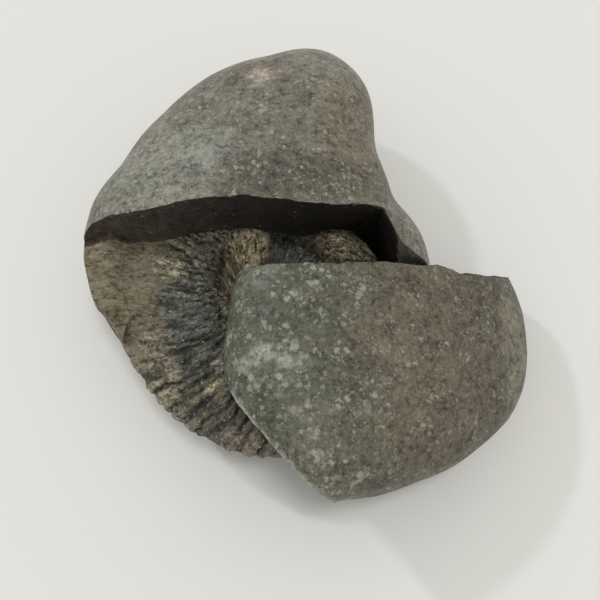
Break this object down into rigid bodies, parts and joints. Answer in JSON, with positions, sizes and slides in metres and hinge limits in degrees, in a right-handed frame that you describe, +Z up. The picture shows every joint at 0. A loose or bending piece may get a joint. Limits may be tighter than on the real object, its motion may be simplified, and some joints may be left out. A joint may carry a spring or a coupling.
{
  "type": "split fossil stone",
  "caption": "River-worn black stone nodule, split open to show a coiled ribbed ammonite, with a loose cap leaning on it; a sacred keepsake.",
  "frame": {"origin": "middle of the whole object's footprint, on the table it rests on", "axes": "+Z up; +X to the right as pictured, towards the loose piece's low end; +Y away from the viewer, towards the back of the host stone"},
  "size_m": [0.091, 0.101, 0.0382],
  "materials": {
    "black_shale_skin": "river-worn black shale, satin, grey-brown with fine pale grain; the broken faces inside are rough and nearly black",
    "ammonite_mineral": "dark fossil mineral with ribs worn to a dull shine, brown at the rim and gold-brown round the hollow",
    "black_shale_cap": "river-worn black shale, satin, green-grey with pale spots at the left and browner at the right"
  },
  "bodies": {
    "root": {"host_stone": "black_shale_skin", "ammonite": "ammonite_mineral", "loose_piece": "black_shale_cap"}
  },
  "joints": []
}
